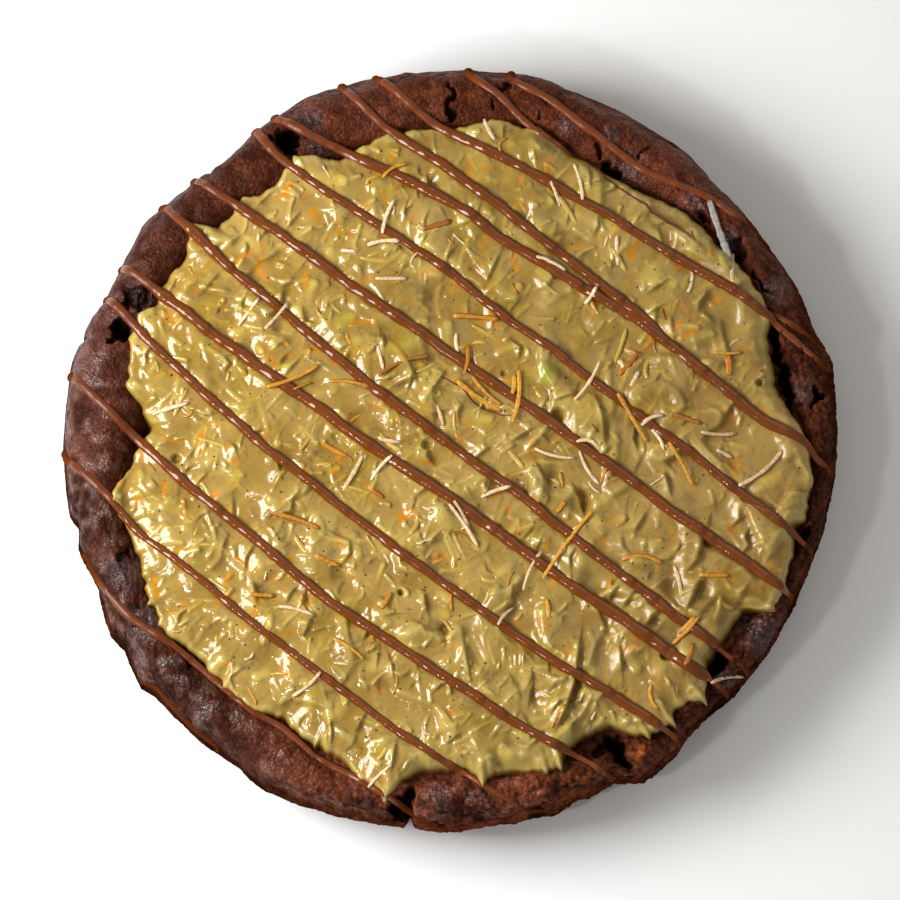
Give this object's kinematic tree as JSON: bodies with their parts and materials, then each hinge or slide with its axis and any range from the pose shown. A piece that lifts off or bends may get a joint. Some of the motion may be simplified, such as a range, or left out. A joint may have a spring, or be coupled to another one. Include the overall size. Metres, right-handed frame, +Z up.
{
  "type": "pistachio cookie",
  "caption": "Round thick chocolate cookie with a puffed rim, its recessed top filled with pistachio cream and shredded pastry, drizzled with milk chocolate.",
  "frame": {"origin": "centre of the flat base, on the surface that the cookie rests on", "axes": "+Z up through the top, +Y away from the viewer of the picture, +X to the viewer's right; the drizzle runs from -X, +Y to +X, -Y"},
  "size_m": [0.1089, 0.1093, 0.0202],
  "materials": {
    "cookie": "dark brown baked chocolate dough, crumbly and rough with a faint dusty bloom",
    "cream": "glossy yellow-green pistachio cream, thick and uneven with coated pastry shreds",
    "drizzle": "glossy milk chocolate, set in round strands",
    "toasted_thread": "golden toasted pastry shreds, dry and slightly translucent",
    "pale_thread": "pale cream pastry shreds, dry",
    "pistachio": "green pistachio bits and dark specks of skin"
  },
  "bodies": {
    "root": {"cookie": "cookie", "pistachio_cream": "cream"}
  },
  "joints": []
}
